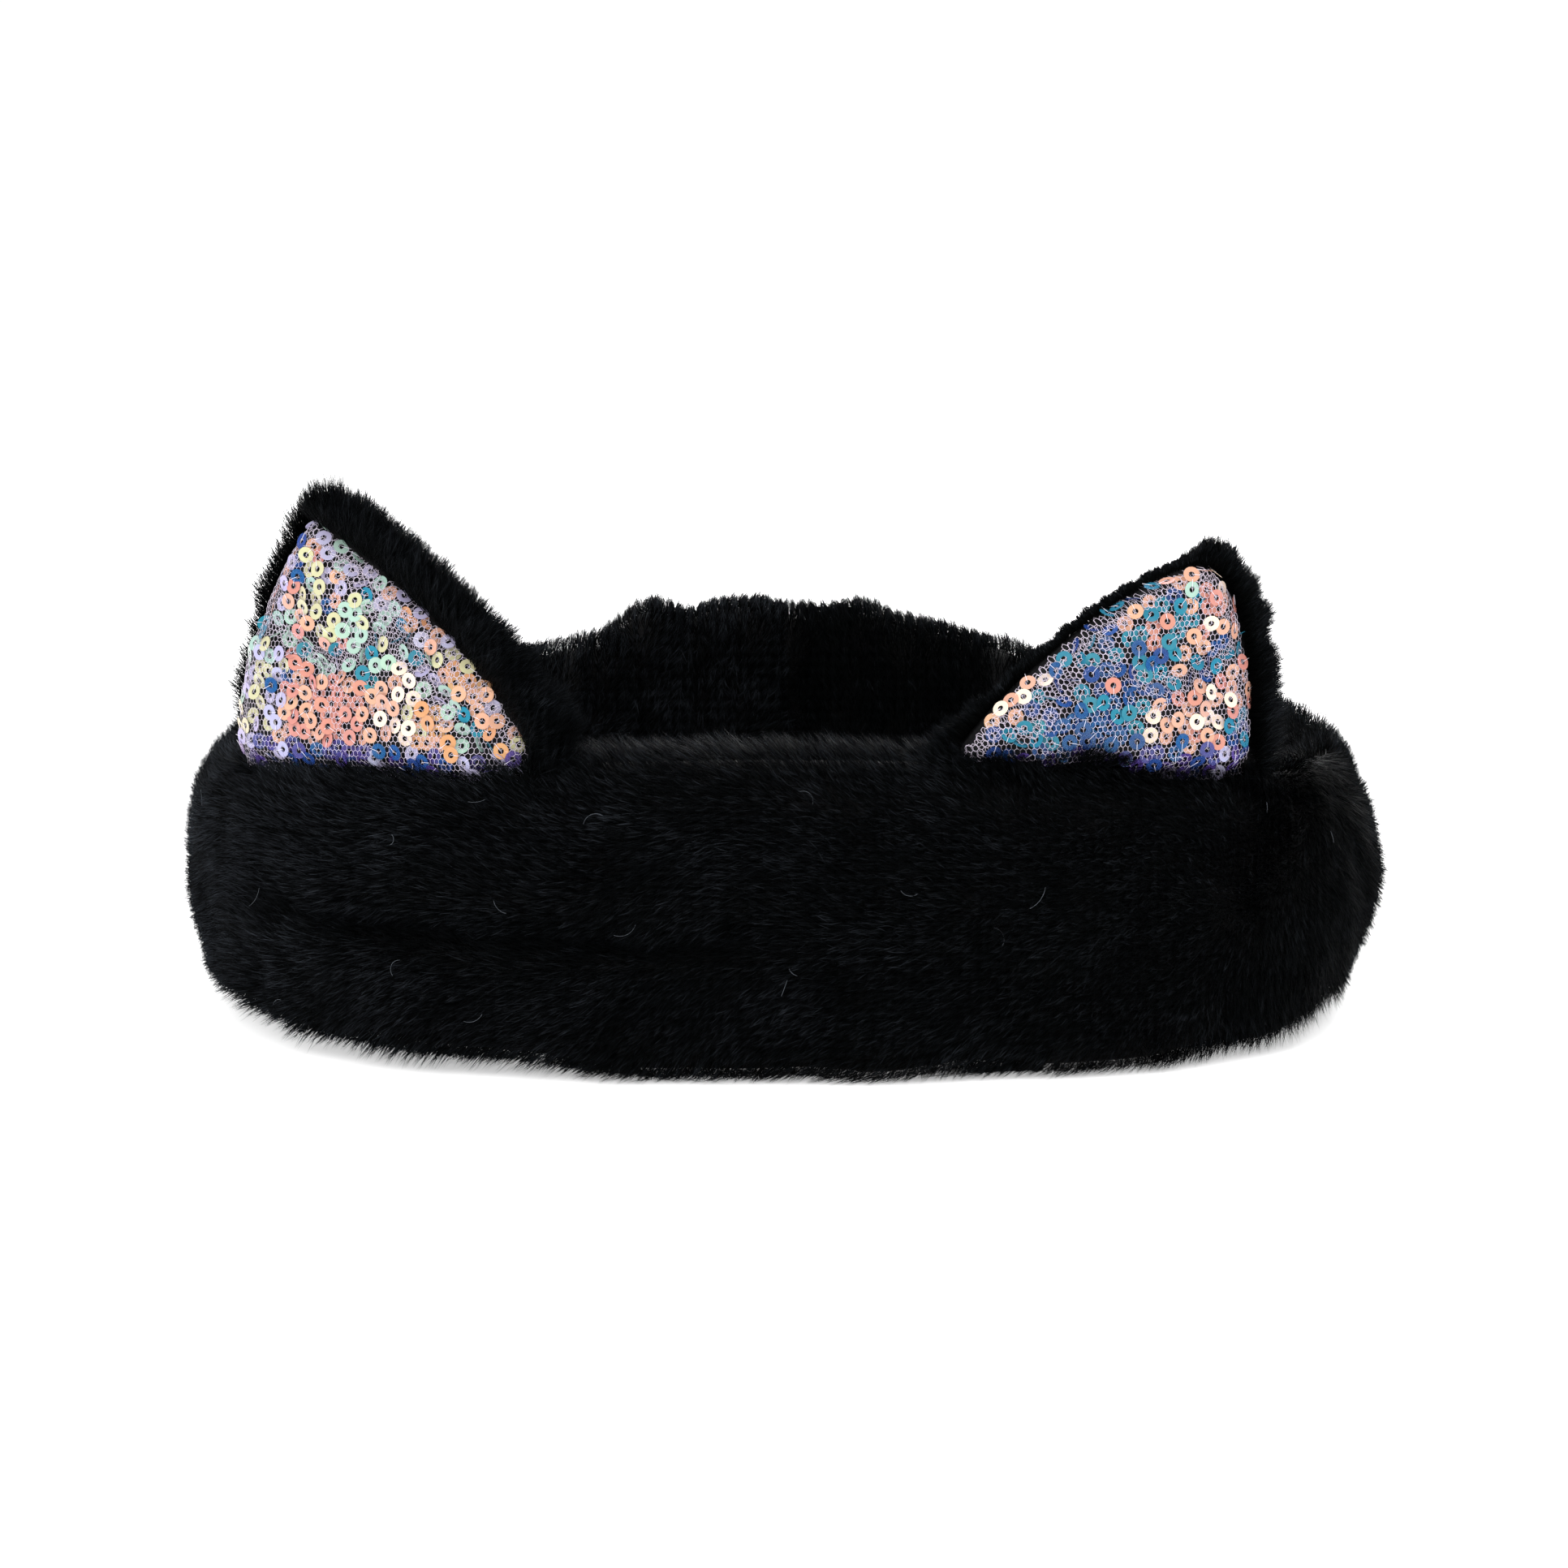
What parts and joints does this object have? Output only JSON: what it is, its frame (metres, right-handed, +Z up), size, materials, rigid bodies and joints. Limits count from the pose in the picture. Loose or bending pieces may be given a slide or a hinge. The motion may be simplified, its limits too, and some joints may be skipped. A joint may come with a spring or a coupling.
{
  "type": "plush animal ears headband",
  "caption": "Soft ring headband of black faux fur with padded cat ears faced in iridescent sequin net and an elastic gathered back that stretches over the head",
  "frame": {"origin": "the middle of the ring at the height of the surface that it stands on", "axes": "+X to the right as seen from the front, +Y from the padded front to the gathered back, +Z up"},
  "size_m": [0.238, 0.172, 0.1025],
  "materials": {
    "black_fur": "matte",
    "black_lining_fur": "matte",
    "white_wadding": "matte",
    "black_elastic": "matte",
    "black_cloth": "matte",
    "black_thread": "satin",
    "sequin_net": "gloss"
  },
  "bodies": {
    "front_band": {"front_outer_panel": "black_fur", "front_inner_panel": "black_lining_fur", "front_wadding": "white_wadding", "front_top_seam_thread": "black_thread", "front_bottom_seam_thread": "black_thread", "elastic_tack_left": "black_thread", "elastic_tack_right": "black_thread", "ear_left_base_stitches": "black_thread", "ear_right_base_stitches": "black_thread", "left_gathers_outer": "black_fur", "left_gathers_inner": "black_lining_fur", "right_gathers_outer": "black_fur", "right_gathers_inner": "black_lining_fur"},
    "rear_band": {"rear_casing_outer": "black_fur", "rear_casing_inner": "black_lining_fur", "rear_elastic": "black_elastic"},
    "ear_left": {"ear_left_fur_back": "black_fur", "ear_left_stuffing": "white_wadding", "ear_left_backing_cloth": "black_cloth", "ear_left_sequin_net": "sequin_net"},
    "ear_right": {"ear_right_fur_back": "black_fur", "ear_right_stuffing": "white_wadding", "ear_right_backing_cloth": "black_cloth", "ear_right_sequin_net": "sequin_net"}
  },
  "joints": [
    {"name": "ear_left_flop", "type": "hinge", "parent": "front_band", "child": "ear_left", "pos_m": [-0.07037, -0.05857, 0.05672], "axis": [0.8755, -0.4832, 0], "range_deg": [-40, 40], "stiffness_Nm_per_rad": 0.02},
    {"name": "ear_right_flop", "type": "hinge", "parent": "front_band", "child": "ear_right", "pos_m": [0.05668, -0.06558, 0.05763], "axis": [0.95, 0.3122, 0], "range_deg": [-40, 40], "stiffness_Nm_per_rad": 0.02},
    {"name": "rear_stretch", "type": "slide", "parent": "front_band", "child": "rear_band", "axis": [0, 1, 0], "range_m": [0, 0.03], "stiffness_N_per_m": 150, "deforming": ["left_gathers_outer", "left_gathers_inner", "right_gathers_outer", "right_gathers_inner", "rear_elastic"]}
  ]
}
